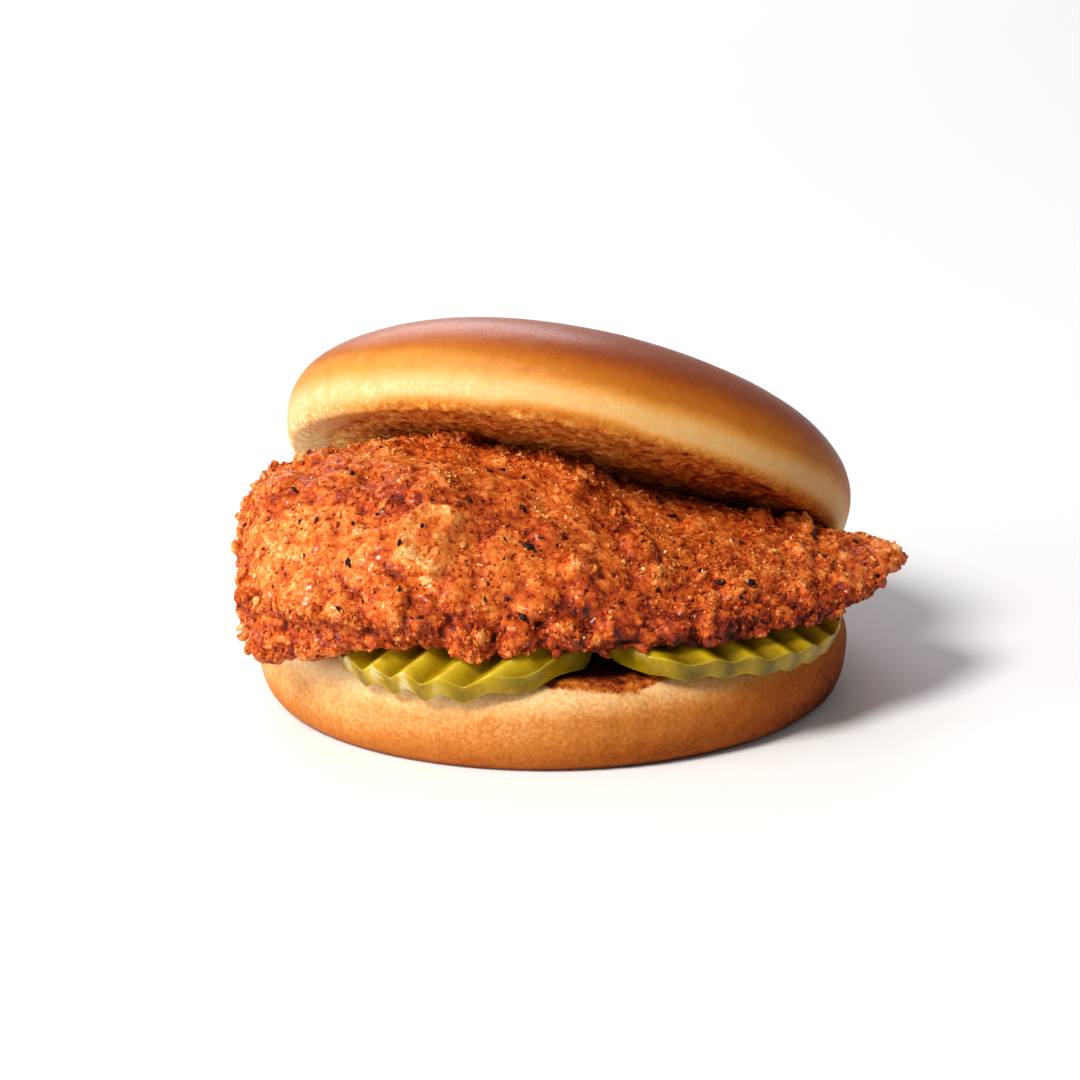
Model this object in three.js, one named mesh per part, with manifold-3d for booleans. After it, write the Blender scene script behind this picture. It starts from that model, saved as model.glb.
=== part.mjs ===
// A fried chicken burger, served open at the front: the heel of the bun, two crinkle-cut pickle
// slices, a long breaded chicken fillet that overhangs the bun at both sides, and the crown of the
// bun, which leans back on the fillet and on the heel's rear edge.
// Millimetres. +X runs to the right along the fillet, +Y to the back and +Z up. The origin is the
// centre of the heel's flat base.

import * as THREE from "three";
import { mergeVertices } from "three/addons/utils/BufferGeometryUtils.js";
import Module from "manifold-3d";

const wasm = await Module();
wasm.setup();

const restGap = 0.35; // air left between two things that rest on each other

// Bun
const bunRadius = 54;
const heelHeight = 16;
const heelFootInset = 4.5; // how far the baked underside curves in from the wall
const heelFootHeight = 8.5; // height where the wall is widest
const heelEdge = 6.5; // how wide the soft edge between the cut face and the wall is
const crownRadius = 53.6;
const crownHeight = 28.2; // cut face to the top of the dome
const crownRimHeight = 7; // cut face to the widest part of the rim
const crownFaceInset = 2.7; // how far the rim curls under to the cut face
const crownDomePower = 2.08; // above 2 the dome is flatter on top and rounder at the shoulder
const crownWave = 0.02; // how uneven the dome's height is, as a share of it
const ovalShare = 0.009; // how far the bun is from round, as shares of its radius
const cornerShare = 0.006;
const heelPhase = 0.6; // where each half of the bun is out of round
const crownPhase = 2.2;
const bunSides = 60;
const edgeSteps = 5;
const domeRows = 9;

// Where the crown leans: centre of its cut face, front edge up and right side down
const crownPlace = new THREE.Vector3(2.2, 22, 28.9);
const crownLean = THREE.MathUtils.degToRad(30);
const crownRoll = THREE.MathUtils.degToRad(10.9);
const crownTurn = new THREE.Euler(-crownLean, crownRoll, 0);
const crownUp = new THREE.Vector3(0, 0, 1).applyEuler(crownTurn);

// Pickle slices
const pickleThickness = 4.6;
const ridgePitch = 6.2;
const ridgeDepth = 1.7; // crest to trough of the crinkle cut
const pickles = [
  { name: "pickle_left", x: -15.2, y: -34, radiusX: 22.8, radiusY: 19.8, ovalTurn: -20, ridgeTurn: 56 },
  { name: "pickle_right", x: 30.9, y: -25.2, radiusX: 24.4, radiusY: 16.8, ovalTurn: 40, ridgeTurn: -37 },
];
const stepsPerRidge = 4;
const stepsAlongRidge = 12;
const pickleSides = 30;
const pickleBendRadius = 7; // how tightly a slice bends down over the heel's soft edge
const pickleBend = THREE.MathUtils.degToRad(26); // and how far
const pickleSag = 0.03; // how fast a slice's upper face curves down beyond the heel's flat part
const pickleMargin = 3; // how far past a slice's edge the fillet still lies at its height
const pickleStack = pickleThickness + ridgeDepth + restGap; // what a slice adds to the heel's height

// Chicken fillet: blunt at the left, drawn out to a tail at the right
const filletMiddleX = -10; // where it is widest
const filletLeft = 46; // length from there to the blunt end
const filletRight = 74; // length from there to the tip of the tail
const filletMiddleY = -12;
const filletTailShift = 5; // how far the tail swings to the back
const tailStart = 20; // X where the tail begins and where it ends
const tailEnd = 64;
const bluntStart = -41; // X where the blunt end begins to sink and where it is lowest
const bluntEnd = -58;
const bluntDrop = 9; // how far it sinks from the pickles to the heel
const filletFront = 39; // half widths, to the front and to the back
const filletBack = 28;
const bluntPower = 2.8; // how full each end is, seen from above
const tailPower = 1.9;
const bluntDepthPower = 3; // and seen from the front
const tailDepthPower = 2.1;
const filletWaist = 0.36; // share of the thickness below the widest line
const topPower = 2.1; // how square the section is above that line
const underPower = 3.2; // and below it
const sectionLean = 0.2; // crowds the points of a section towards its two edges
const filletUnder = heelHeight + pickleStack + restGap; // height of the underside on the pickles
const frontSlope = 3.2; // how much lower the top is at the front edge
const profileStart = -58; // X of the first of the heights below
const profileStep = 12; // X from one to the next
const crestHeights = [50, 46.4, 47, 47.5, 45.5, 43.7, 38.7, 35.7, 34.7, 33, 32.5];
const frontEdgeHeights = [8, 10.2, 16.5, 19.1, 16.3, 16.6, 19, 19, 16.9, 18.5, 22.1];
const filletRows = 60;
const filletSides = 50;

// Breading relief on the fillet: broad swells and round lumps, standing out as from an ellipsoid
const swellSize = 19;
const swellDepth = 1.5;
const swellSeed = 3;
const lumpSize = 7.5;
const lumpDepth = 1.5;
const lumpSeed = 11;
const lumpSharpness = 1.4;
const reliefCentre = new THREE.Vector3(filletMiddleX, filletMiddleY, 33.4);
const reliefReach = new THREE.Vector3(filletRight, filletFront, 11.5);

const smoothstep = (low, high, value) => THREE.MathUtils.smoothstep(value, low, high);
const signedPower = (value, power) => Math.sign(value) * Math.abs(value) ** power;

// A whole-number mix of a lattice cell, as a number from 0 to 1
function cellValue(i, j, k, seed) {
  const place = Math.imul(i, 374761393) + Math.imul(j, 668265263) + Math.imul(k, 1440662683);
  const start = place + Math.imul(seed, 362437);
  const mixed = Math.imul(start ^ (start >>> 13), 1274126177);
  return ((mixed ^ (mixed >>> 16)) >>> 0) / 2 ** 32;
}

// Smooth noise from -1 to 1 that changes over the given size
function swell(point, size, seed) {
  const scaled = point.clone().divideScalar(size);
  const cell = scaled.clone().floor();
  const ease = (t) => t * t * (3 - 2 * t);
  const share = [ease(scaled.x - cell.x), ease(scaled.y - cell.y), ease(scaled.z - cell.z)];
  let total = 0;
  for (let corner = 0; corner < 8; corner++) {
    const step = [corner & 1, (corner >> 1) & 1, (corner >> 2) & 1];
    const weight = step.reduce((w, s, axis) => w * (s ? share[axis] : 1 - share[axis]), 1);
    total += weight * cellValue(cell.x + step[0], cell.y + step[1], cell.z + step[2], seed);
  }
  return 2 * total - 1;
}

// Round lumps from 0 to 1, one around a random point of each cell of the given size
function lumps(point, size, seed) {
  const scaled = point.clone().divideScalar(size);
  const home = scaled.clone().floor();
  let nearest = Infinity;
  for (let n = 0; n < 27; n++) {
    const i = home.x + (n % 3) - 1;
    const j = home.y + (Math.floor(n / 3) % 3) - 1;
    const k = home.z + Math.floor(n / 9) - 1;
    const seat = new THREE.Vector3(
      i + cellValue(i, j, k, seed),
      j + cellValue(i, j, k, seed + 1),
      k + cellValue(i, j, k, seed + 2),
    );
    nearest = Math.min(nearest, seat.distanceToSquared(scaled));
  }
  return Math.max(0, 1 - lumpSharpness * nearest);
}

// Moves every vertex of a geometry by a function that changes the point it is given
function reshape(geometry, move) {
  const position = geometry.getAttribute("position");
  const point = new THREE.Vector3();
  for (let n = 0; n < position.count; n++) {
    point.fromBufferAttribute(position, n);
    move(point);
    position.setXYZ(n, point.x, point.y, point.z);
  }
  geometry.computeVertexNormals();
  return geometry;
}

// Points of a quarter ellipse between two (radius, height) corners, leaving the first one level
// with the table if startsAcross and upright if not
function quarter(fromX, fromY, toX, toY, startsAcross) {
  return Array.from({ length: edgeSteps + 1 }, (_, n) => {
    const angle = ((Math.PI / 2) * n) / edgeSteps;
    const slow = 1 - Math.cos(angle);
    const fast = Math.sin(angle);
    return new THREE.Vector2(
      fromX + (toX - fromX) * (startsAcross ? fast : slow),
      fromY + (toY - fromY) * (startsAcross ? slow : fast),
    );
  });
}

// A solid turned about +Z from a profile of (radius, height) points that runs from the bottom up
const turned = (profile) => new THREE.LatheGeometry(profile, bunSides).rotateX(Math.PI / 2);

// How far the bun is from a true circle at an angle round it
const outOfRound = (angle, phase) =>
  1 + ovalShare * Math.sin(2 * angle + phase) + cornerShare * Math.sin(3 * angle + 2 * phase);

// Moves a point of a turned solid out or in, so that the solid isn't a true circle
function unround(point, phase) {
  const round = outOfRound(Math.atan2(point.y, point.x), phase);
  point.x *= round;
  point.y *= round;
}

// Height of the crown's cut face above a place in plan
const crownFaceHeight = (x, y) =>
  crownPlace.z - ((x - crownPlace.x) * crownUp.x + (y - crownPlace.y) * crownUp.y) / crownUp.z;

function heelGeometry() {
  const foot = bunRadius - heelFootInset;
  const flat = bunRadius - heelEdge;
  const profile = [
    new THREE.Vector2(0, 0),
    new THREE.Vector2(foot / 2, 0),
    ...quarter(foot, 0, bunRadius, heelFootHeight, true),
    ...quarter(bunRadius, heelFootHeight, flat, heelHeight, false).slice(1),
    new THREE.Vector2(flat * 0.7, heelHeight),
    new THREE.Vector2(flat * 0.35, heelHeight),
    new THREE.Vector2(0, heelHeight),
  ];
  return reshape(turned(profile), (point) => {
    unround(point, heelPhase);
    point.z = Math.min(point.z, crownFaceHeight(point.x, point.y) - restGap);
  });
}

// How far a place in plan lies past the flat part of the heel's top
function pastFlat(x, y) {
  const reach = Math.hypot(x, y) / outOfRound(Math.atan2(y, x), heelPhase);
  return Math.max(0, reach - (bunRadius - heelEdge));
}

// Height of the heel's cut face and soft edge at a place in plan
function heelTop(x, y) {
  const past = pastFlat(x, y) / heelEdge;
  return heelFootHeight + (heelHeight - heelFootHeight) * Math.sqrt(Math.max(0, 1 - past ** 2));
}

function crownGeometry() {
  const face = crownRadius - crownFaceInset;
  const dome = Array.from({ length: domeRows }, (_, n) => {
    const angle = ((Math.PI / 2) * (n + 1)) / domeRows;
    return new THREE.Vector2(
      n + 1 === domeRows ? 0 : crownRadius * Math.cos(angle) ** (2 / crownDomePower),
      crownRimHeight + (crownHeight - crownRimHeight) * Math.sin(angle) ** (2 / crownDomePower),
    );
  });
  const profile = [
    new THREE.Vector2(0, 0),
    new THREE.Vector2(face * 0.4, 0),
    new THREE.Vector2(face * 0.75, 0),
    ...quarter(face, 0, crownRadius, crownRimHeight, true),
    ...dome,
  ];
  return reshape(turned(profile), (point) => {
    const toRim = Math.min(1, Math.hypot(point.x, point.y) / crownRadius);
    const angle = Math.atan2(point.y, point.x);
    point.z *= 1 + crownWave * Math.sin(2 * angle + 1) * toRim;
    unround(point, crownPhase);
  });
}

const toManifold = (geometry) => {
  const separate = geometry.index ? geometry.toNonIndexed() : geometry;
  const bare = new THREE.BufferGeometry();
  bare.setAttribute("position", separate.getAttribute("position"));
  const merged = mergeVertices(bare, 1e-4);
  return new wasm.Manifold(
    new wasm.Mesh({
      numProp: 3,
      vertProperties: merged.getAttribute("position").array,
      triVerts: new Uint32Array(merged.index.array),
    }),
  );
};

const toGeometry = (manifold) => {
  const mesh = manifold.getMesh();
  const geometry = new THREE.BufferGeometry();
  geometry.setAttribute("position", new THREE.BufferAttribute(mesh.vertProperties, 3));
  geometry.setIndex(new THREE.BufferAttribute(mesh.triVerts, 1));
  return geometry;
};

// Height of the crinkle at a distance across the ridges, the same on both faces
const crinkle = (across) => (ridgeDepth / 2) * Math.cos((2 * Math.PI * across) / ridgePitch);

// A slab with parallel ridges, cut to an oval and laid over the heel's soft edge
function pickleGeometry({ x, y, radiusX, radiusY, ovalTurn, ridgeTurn }) {
  const reach = Math.max(radiusX, radiusY) + 1;
  const half = Math.ceil(reach / ridgePitch) * stepsPerRidge;
  const across = Array.from({ length: 2 * half + 1 }, (_, n) => ((n - half) * ridgePitch) / stepsPerRidge);
  const outline = new THREE.Shape([
    ...across.map((a) => new THREE.Vector2(a, crinkle(a) - pickleThickness / 2)),
    ...across.toReversed().map((a) => new THREE.Vector2(a, crinkle(a) + pickleThickness / 2)),
  ]);
  const run = { depth: 2 * reach, steps: stepsAlongRidge, bevelEnabled: false };
  const slab = new THREE.ExtrudeGeometry(outline, run).translate(0, 0, -reach).rotateX(Math.PI / 2);
  slab.rotateZ(THREE.MathUtils.degToRad(ridgeTurn - 90));
  const skin = new THREE.CylinderGeometry(1, 1, 4 * pickleThickness, pickleSides).rotateX(Math.PI / 2);
  skin.scale(radiusX, radiusY, 1).rotateZ(THREE.MathUtils.degToRad(ovalTurn));
  const slice = toGeometry(toManifold(slab).intersect(toManifold(skin)));
  return reshape(slice, (point) => {
    const rise = point.z + pickleThickness / 2 + ridgeDepth / 2 + restGap;
    point.set(point.x + x, point.y + y, 0);
    drape(point, rise);
  });
}

// Lays a point of a flat slice over the heel: rise is its height above the face it rests on
function drape(point, rise) {
  const past = pastFlat(point.x, point.y);
  const bend = Math.min(past / pickleBendRadius, pickleBend);
  const straight = past - pickleBendRadius * bend;
  const outward = (pickleBendRadius + rise) * Math.sin(bend) + straight * Math.cos(bend);
  const down = pickleBendRadius * (1 - Math.cos(bend)) + straight * Math.sin(bend);
  const reach = Math.hypot(point.x, point.y);
  point.multiplyScalar((reach - past + outward) / Math.max(reach, 1));
  point.z = heelHeight - down + rise * Math.cos(bend);
}

// Height of whatever lies under the fillet at a place in plan
function supportHeight(x, y) {
  const overPickle = pickles.some((slice) => {
    const offset = new THREE.Vector2(x - slice.x, y - slice.y);
    offset.rotateAround(new THREE.Vector2(), -THREE.MathUtils.degToRad(slice.ovalTurn));
    const share = new THREE.Vector2(
      offset.x / (slice.radiusX + pickleMargin),
      offset.y / (slice.radiusY + pickleMargin),
    );
    return share.length() < 1;
  });
  return overPickle ? heelHeight + pickleStack - pickleSag * pastFlat(x, y) ** 2 : heelTop(x, y);
}

// A smooth curve through evenly spaced heights along X
function heightAlong(heights, x) {
  const last = heights.length - 1;
  const place = THREE.MathUtils.clamp((x - profileStart) / profileStep, 0, last - 1e-6);
  const n = Math.floor(place);
  const t = place - n;
  const from = heights[n];
  const to = heights[n + 1];
  const before = heights[n - 1] ?? 2 * from - to;
  const after = heights[n + 2] ?? 2 * to - from;
  const bend = 2 * before - 5 * from + 4 * to - after + t * (3 * (from - to) + after - before);
  return from + 0.5 * t * (to - before + t * bend);
}

// Half width of a superellipse of unit size at a distance along it
const fullness = (along, power) => Math.max(0, 1 - Math.abs(along) ** power) ** (1 / power);

// The fillet's smooth surface for a direction on the unit sphere whose poles lie on the X axis
function filletPoint(direction) {
  const along = direction.x;
  const evenTurn = Math.atan2(direction.z, direction.y);
  const turn = evenTurn + sectionLean * Math.sin(2 * evenTurn);
  const x = filletMiddleX + along * (along < 0 ? filletLeft : filletRight);
  const width = fullness(along, along < 0 ? bluntPower : tailPower);
  const depth = fullness(along, along < 0 ? bluntDepthPower : tailDepthPower);
  const toTail = smoothstep(tailStart, tailEnd, x);
  const toBlunt = 1 - smoothstep(bluntEnd, bluntStart, x);
  const side = signedPower(Math.cos(turn), 2 / topPower);
  const y = filletMiddleY + filletTailShift * toTail + width * side * (side < 0 ? filletFront : filletBack);
  const toFront = Math.max(0, -side) ** 2;
  const back = filletUnder - bluntDrop * toBlunt;
  const under = back + (heightAlong(frontEdgeHeights, x) - back) * toFront;
  const crest = heightAlong(crestHeights, x) - frontSlope * (1 - toTail) * toFront;
  const waist = under + filletWaist * (crest - under);
  const lift = signedPower(Math.sin(turn), 2 / (Math.sin(turn) < 0 ? underPower : topPower));
  return new THREE.Vector3(x, y, waist + depth * lift * (lift < 0 ? waist - under : crest - waist));
}

function filletGeometry() {
  const ball = new THREE.SphereGeometry(1, filletSides, filletRows).rotateZ(-Math.PI / 2);
  return reshape(ball, (point) => {
    const smooth = filletPoint(point);
    const outward = smooth.clone().sub(reliefCentre).divide(reliefReach).divide(reliefReach).normalize();
    const swells = swellDepth * swell(smooth, swellSize, swellSeed);
    const relief = swells + lumpDepth * lumps(smooth, lumpSize, lumpSeed);
    point.copy(smooth).addScaledVector(outward, relief);
    point.z = Math.min(point.z, crownFaceHeight(point.x, point.y) - restGap);
    point.z = Math.max(point.z, supportHeight(point.x, point.y) + restGap);
  });
}

const finish = (color, roughness) => new THREE.MeshStandardMaterial({ color, roughness, metalness: 0 });

function part(name, geometry, material) {
  const mesh = new THREE.Mesh(geometry, material);
  mesh.name = name;
  return mesh;
}

const burger = new THREE.Group();
const crust = finish(0xc98a4b, 0.55);
const gherkin = finish(0x8f8b1e, 0.25);
const breading = finish(0xb4531c, 0.5);

burger.add(part("heel", heelGeometry(), crust));
for (const slice of pickles) burger.add(part(slice.name, pickleGeometry(slice), gherkin));
burger.add(part("chicken_fillet", filletGeometry(), breading));

const crown = part("crown", crownGeometry(), crust);
crown.position.copy(crownPlace);
crown.rotation.copy(crownTurn);
burger.add(crown);

export default burger;
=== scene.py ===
# A fried chicken burger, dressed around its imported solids: two bun halves, two crinkle-cut pickle
# slices and a breaded chicken fillet with its crumbs, pepper and spice grains.
# Shapes are worked out in millimetres and turned into metres as the meshes are made.
import math
import bpy
import numpy as np
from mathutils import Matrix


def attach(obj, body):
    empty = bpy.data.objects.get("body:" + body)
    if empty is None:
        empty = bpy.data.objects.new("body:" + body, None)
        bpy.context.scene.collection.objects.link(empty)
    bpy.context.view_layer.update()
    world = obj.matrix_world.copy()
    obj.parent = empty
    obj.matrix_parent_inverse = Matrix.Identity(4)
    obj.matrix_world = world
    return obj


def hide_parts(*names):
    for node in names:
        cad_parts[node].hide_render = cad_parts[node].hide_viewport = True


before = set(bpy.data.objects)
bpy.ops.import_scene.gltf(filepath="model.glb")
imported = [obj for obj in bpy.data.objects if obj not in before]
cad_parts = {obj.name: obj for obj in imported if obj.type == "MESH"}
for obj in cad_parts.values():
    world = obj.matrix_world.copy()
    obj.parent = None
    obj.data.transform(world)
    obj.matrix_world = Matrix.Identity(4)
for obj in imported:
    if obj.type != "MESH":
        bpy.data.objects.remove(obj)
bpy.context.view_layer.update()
print("frame loaded:", sorted(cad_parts))

millimetre = 0.001


# Numbers and noise

def smoothstep(low, high, value):
    # 0 below low, 1 above high, an S-shaped cubic between
    t = np.clip((value - low) / (high - low), 0, 1)
    return t * t * (3 - 2 * t)


def signedPower(value, power):
    # the size of a number raised to a power, with its sign kept
    return np.sign(value) * np.abs(value) ** power


def cellValue(i, j, k, seed):
    # a whole-number mix of a lattice cell, as a number from 0 to 1
    mixed = (i * 374761393 + j * 668265263 + k * 1440662683 + seed * 362437) & 0xFFFFFFFF
    mixed = ((mixed ^ (mixed >> 13)) * 1274126177) & 0xFFFFFFFF
    return ((mixed ^ (mixed >> 16)) & 0xFFFFFFFF) / 2.0**32


def swell(points, size, seed):
    # smooth noise from -1 to 1: the values at the eight corners of a cell, eased between them
    scaled = points / size
    cell = np.floor(scaled)
    share = scaled - cell
    share = share * share * (3 - 2 * share)
    i, j, k = np.moveaxis(cell.astype(np.int64), -1, 0)
    total = 0
    for corner in range(8):
        step = np.array([corner & 1, (corner >> 1) & 1, (corner >> 2) & 1])
        weight = np.prod(np.where(step, share, 1 - share), axis=-1)
        total = total + weight * cellValue(i + step[0], j + step[1], k + step[2], seed)
    return 2 * total - 1


def nearestSeat(points, size, seed):
    # distance, in cells, to the closest of the random points that each cell holds one of
    scaled = points / size
    home = np.moveaxis(np.floor(scaled).astype(np.int64), -1, 0)
    nearest = np.full(scaled.shape[:-1], np.inf)
    for n in range(27):
        cell = [home[0] + n % 3 - 1, home[1] + n // 3 % 3 - 1, home[2] + n // 9 - 1]
        seat = [cell[axis] + cellValue(*cell, seed + axis) for axis in range(3)]
        nearest = np.minimum(nearest, ((np.stack(seat, -1) - scaled) ** 2).sum(-1))
    return np.sqrt(nearest)


def lumps(points, size, seed, sharpness=1.4):
    # round lumps from 0 to 1: one less a multiple of the squared distance to the closest seat
    return np.maximum(0, 1 - sharpness * nearestSeat(points, size, seed) ** 2)


def warped(points, size, amount, seed):
    # points pushed about by three smooth noises, so that what is read there isn't round
    push = [swell(points, size, seed + n) for n in range(3)]
    return points + amount * np.stack(push, -1)


def layered(points, layers):
    # smooth noises added up, each with its depth, size and seed
    return sum(depth * swell(points, size, seed) for depth, size, seed in layers)


def stepped(value, *steps):
    # smooth steps added up, each with its start, end and amount
    return sum(amount * smoothstep(start, end, value) for start, end, amount in steps)


def between(rise, fall, value):
    # 0, up to 1 over the rise and back to 0 over the fall
    return smoothstep(*rise, value) * smoothstep(*fall, value)


def bell(value, centre, width):
    # 1 at the centre, falling away to both sides
    return np.exp(-(((value - centre) / width) ** 2))


# Meshes

def meshFrom(name, points, faces, values):
    # a mesh object from points in millimetres, with its faces turned outwards by its signed volume
    volume = 0
    for corner in range(1, faces.shape[1] - 1):
        a, b, c = np.moveaxis(points[faces[:, [0, corner, corner + 1]]], 1, 0)
        volume += (a * np.cross(b, c)).sum()
    if volume < 0:
        faces = faces[:, ::-1]
    rows = faces.tolist()
    if faces.shape[1] == 4:
        rows = [row[:3] if row[3] == row[2] else row for row in rows]
        rows = [row[1:] if row[0] == row[1] else row for row in rows]
    mesh = bpy.data.meshes.new(name)
    mesh.from_pydata((points * millimetre).tolist(), [], rows)
    mesh.shade_smooth()
    for key, value in values.items():
        mesh.attributes.new(key, "FLOAT", "POINT").data.foreach_set("value", value.astype(np.float32))
    mesh.update()
    piece = bpy.data.objects.new(name, mesh)
    bpy.context.scene.collection.objects.link(piece)
    return piece


def closedSurface(name, grid, values):
    # a ring of points for each row, joined by quads; the first and last rows are single points
    rows, sides = grid.shape[:2]

    def once(array):
        return np.concatenate([array[0, :1], array[1:-1].reshape(-1, *array.shape[2:]), array[-1, :1]])

    index = np.full((rows, sides), 0)
    index[1:-1] = 1 + np.arange((rows - 2) * sides).reshape(rows - 2, sides)
    index[-1] = 1 + (rows - 2) * sides
    turned = np.roll(index, -1, 1)
    quads = np.stack([index[:-1], turned[:-1], turned[1:], index[1:]], -1).reshape(-1, 4)
    return meshFrom(name, once(grid), quads, {key: once(value) for key, value in values.items()})


def gridNormals(grid):
    # the cross product of the two directions along the grid, made to point away from its middle
    along = np.gradient(grid, axis=0)
    across = np.roll(grid, -1, 1) - np.roll(grid, 1, 1)
    normals = np.cross(along, across)
    normals[0] = normals[1].mean(0)
    normals[-1] = normals[-2].mean(0)
    normals /= np.maximum(np.linalg.norm(normals, axis=-1, keepdims=True), 1e-9)
    away = (normals * (grid - grid.mean((0, 1)))).sum(-1).mean()
    return normals * np.sign(away)


def pebble(rings, sides):
    # the points and triangles of a unit ball with few faces
    up = np.pi * (np.arange(1, rings) / rings - 0.5)
    around = 2 * np.pi * np.arange(sides) / sides
    ring = np.stack([np.cos(up)[:, None] * np.cos(around), np.cos(up)[:, None] * np.sin(around),
                     np.sin(up)[:, None] + 0 * around], -1).reshape(-1, 3)
    points = np.concatenate([[[0, 0, -1]], ring, [[0, 0, 1]]])
    here = np.arange(sides)
    beside = (here + 1) % sides
    last = len(points) - 1
    faces = [np.stack([0 * here, 1 + beside, 1 + here], -1)]
    for row in range(rings - 2):
        low = 1 + row * sides
        high = low + sides
        faces.append(np.stack([low + here, low + beside, high + beside], -1))
        faces.append(np.stack([low + here, high + beside, high + here], -1))
    faces.append(np.stack([last - sides + here, last - sides + beside, last + 0 * here], -1))
    return points, np.concatenate(faces)


def turnsTo(normals, random):
    # a frame of three directions at each place, the third along the normal and the first at random
    guess = random.normal(size=normals.shape)
    first = guess - (guess * normals).sum(-1, keepdims=True) * normals
    first /= np.linalg.norm(first, axis=-1, keepdims=True)
    return np.stack([first, np.cross(normals, first), normals], -1)


ballNoise = {"reach": 90, "stretch": 1.1, "size": 0.8, "seed": 5}


def scattered(name, shape, places, turns, sizes, rough, tones, random):
    # one mesh of many copies: each copy's points are its own uneven ball, scaled, turned and placed
    ball, faces = shape
    offset = random.uniform(-ballNoise["reach"], ballNoise["reach"], (len(places), 1, 3))
    uneven = 1 + rough * swell(ball * ballNoise["stretch"] + offset, ballNoise["size"], ballNoise["seed"])
    local = ball * uneven[..., None] * sizes[:, None]
    points = places[:, None] + np.einsum("mij,mnj->mni", turns, local)
    index = faces[None] + len(ball) * np.arange(len(places))[:, None, None]
    tone = np.repeat(tones, len(ball))
    return meshFrom(name, points.reshape(-1, 3), index.reshape(-1, 3), {"tone": tone})


# Shader graphs

class Value:
    # a socket whose arithmetic adds Math nodes
    def __init__(self, graph, socket):
        self.graph = graph
        self.socket = socket

    def __add__(self, other):
        return self.graph.maths("ADD", self, other)

    def __sub__(self, other):
        return self.graph.maths("SUBTRACT", self, other)

    def __rsub__(self, other):
        return self.graph.maths("SUBTRACT", other, self)

    def __mul__(self, other):
        return self.graph.maths("MULTIPLY", self, other)

    __radd__ = __add__
    __rmul__ = __mul__


class Graph:
    # a material's node tree
    def __init__(self, name):
        self.material = bpy.data.materials.new(name)
        self.material.use_nodes = True
        self.tree = self.material.node_tree
        self.tree.nodes.clear()

    def add(self, kind, settings, sockets, output=0):
        # any node: its settings first, a ramp's stops among them, then its sockets' values or links
        node = self.tree.nodes.new(kind)
        for key, value in settings.items():
            if key == "stops":
                for n, (place, color) in enumerate(value):
                    stop = node.color_ramp.elements[n] if n < 2 else node.color_ramp.elements.new(place)
                    stop.position = place
                    stop.color = color
            else:
                setattr(node, key, value)
        for key, value in sockets.items():
            if isinstance(value, Value):
                self.tree.links.new(value.socket, node.inputs[key])
            else:
                node.inputs[key].default_value = value
        if node.outputs:
            return Value(self, node.outputs[output])

    def maths(self, operation, first, second):
        return self.add("ShaderNodeMath", {"operation": operation}, {0: first, 1: second})

    def clamp(self, value):
        return self.add("ShaderNodeClamp", {}, {"Value": value})

    def step(self, value, low, high):
        # 0 below low, 1 above high, eased between
        sockets = {"Value": value, "From Min": low, "From Max": high}
        return self.add("ShaderNodeMapRange", {"interpolation_type": "SMOOTHSTEP"}, sockets)

    def mix(self, share, first, second):
        return self.add("ShaderNodeMix", {"data_type": "RGBA"}, {0: share, 6: first, 7: second}, 2)

    def ramp(self, value, stops):
        return self.add("ShaderNodeValToRGB", {"stops": stops}, {"Fac": value})

    def attribute(self, name):
        return self.add("ShaderNodeAttribute", {"attribute_name": name}, {}, 2)

    def place(self):
        return self.add("ShaderNodeTexCoord", {}, {}, 3)

    def noise(self, size, detail, roughness):
        # noise of a size in millimetres, from 0 to 1, in Object coordinates
        sockets = {"Vector": self.place(), "Scale": 1000 / size, "Detail": detail, "Roughness": roughness}
        return self.add("ShaderNodeTexNoise", {}, sockets)

    def grains(self, size, warp):
        # distance, from 0 to about 1, to the closest of scattered points a number of millimetres apart
        # and of others half as far apart, read at a place pushed about by noise of three times that size
        sockets = {"Vector": self.place(), "Scale": 1000 / size / 3, "Detail": 2.0}
        push = self.add("ShaderNodeTexNoise", {}, sockets, 1)
        push = self.add("ShaderNodeVectorMath", {"operation": "SUBTRACT"}, {0: push, 1: (0.5, 0.5, 0.5)})
        push = self.add("ShaderNodeVectorMath", {"operation": "SCALE"}, {0: push, "Scale": warp * millimetre})
        place = self.add("ShaderNodeVectorMath", {"operation": "ADD"}, {0: self.place(), 1: push})
        sockets = {"Vector": place, "Scale": 1000 / size, "Detail": 1.0, "Roughness": 0.6}
        return self.add("ShaderNodeTexVoronoi", {"normalize": True}, sockets)

    def bump(self, height, depth, strength):
        # height runs from 0 to 1 and depth is in millimetres
        sockets = {"Strength": strength, "Distance": depth * millimetre, "Height": height}
        return self.add("ShaderNodeBump", {}, sockets)

    def finish(self, sockets):
        shader = self.add("ShaderNodeBsdfPrincipled", {}, sockets)
        self.add("ShaderNodeOutputMaterial", {}, {"Surface": shader})
        return self.material


def shade(red, green, blue):
    # a colour as seen on a screen, 0 to 255, made linear
    screen = np.array([red, green, blue]) / 255
    linear = np.where(screen <= 0.04045, screen / 12.92, ((screen + 0.055) / 1.055) ** 2.4)
    return (*linear.tolist(), 1.0)


# The camera, whose view also places what is pinned to the photograph

view = {
    "elevation": math.radians(16.3),
    "distance": 700.0,
    "target": np.array([-2.05, 0.0, 26.9]),
    "lens": 127.07,  # millimetres, for a sensor 36 mm wide
    "sensor": 36.0,
    "picture": 1080.0,  # pixels along a side
    "facing": 0.05,  # how far a place must be turned to the camera to count as seen
    "reach": 4.0,  # pixels around a pinned one
}
toCamera = np.array([0, -math.cos(view["elevation"]), math.sin(view["elevation"])])
pictureUp = np.array([0, math.sin(view["elevation"]), math.cos(view["elevation"])])


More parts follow.
